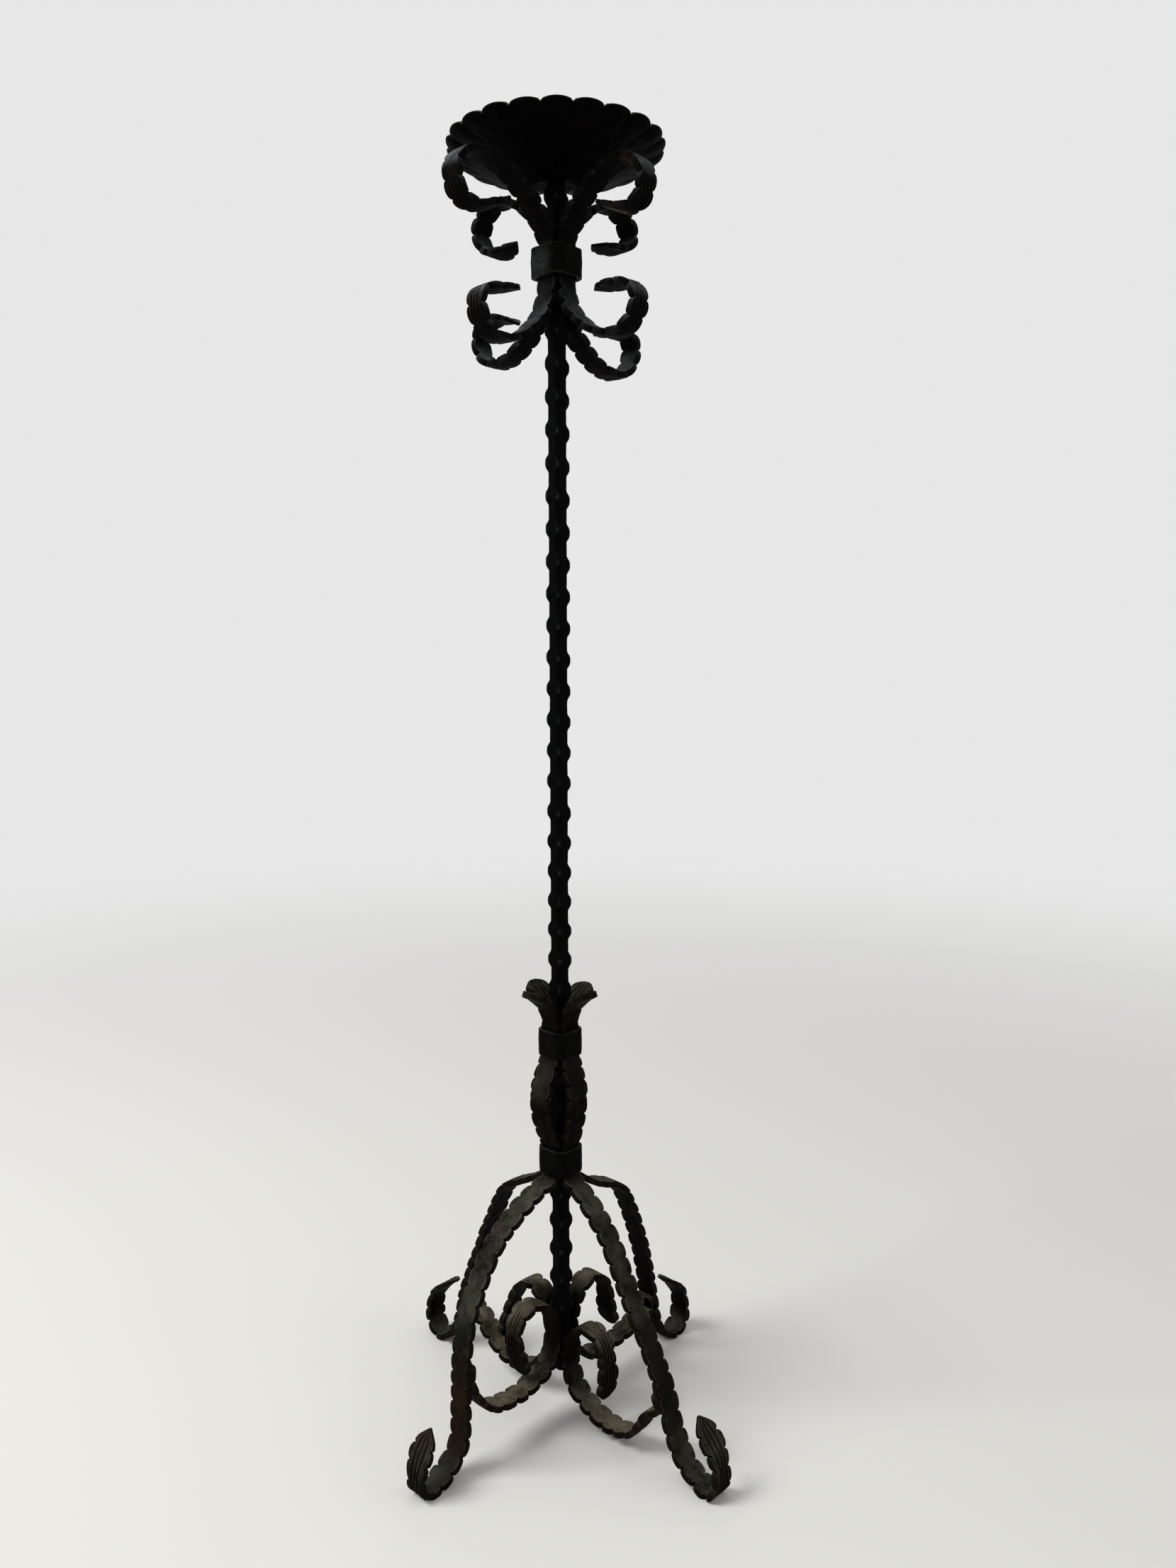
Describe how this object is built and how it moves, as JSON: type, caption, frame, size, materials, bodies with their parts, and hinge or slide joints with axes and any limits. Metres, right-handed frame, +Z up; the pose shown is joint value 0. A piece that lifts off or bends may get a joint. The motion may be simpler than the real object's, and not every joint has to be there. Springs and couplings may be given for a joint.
{
  "type": "torchere candle stand",
  "caption": "Tall forged iron floor candle stand: square bar on scrolled scalloped strap legs, double scrolls under a fluted drip pan with a pricket.",
  "frame": {"origin": "point on the floor under the axis of the bar", "axes": "+Z up along the bar, -Y to the front, +X to the right of someone who faces the front"},
  "size_m": [0.2344, 0.2344, 0.958],
  "materials": {
    "forged_bar": "forge-black square bar, hammered beads, waxed",
    "strap_iron": "forged scalloped strap, grey-green scale on the faces, brown edges",
    "scroll_iron": "forged scalloped strap, browner scale",
    "collar_iron": "plain hammered band, grey bloom",
    "pan_iron": "beaten sheet, forge black with brown at the rim"
  },
  "bodies": {
    "root": {"stem": "forged_bar", "drip_pan": "pan_iron", "pricket": "forged_bar", "top_collar": "collar_iron", "upper_leg_collar": "collar_iron", "lower_leg_collar": "collar_iron", "scroll_front_left": "strap_iron", "scroll_front_right": "strap_iron", "scroll_back_right": "strap_iron", "scroll_back_left": "strap_iron", "leg_front_left": "strap_iron", "leg_front_right": "strap_iron", "leg_back_right": "strap_iron", "leg_back_left": "strap_iron", "base_scroll_front_left": "scroll_iron", "base_scroll_front_right": "scroll_iron", "base_scroll_back_right": "scroll_iron", "base_scroll_back_left": "scroll_iron"}
  },
  "joints": []
}
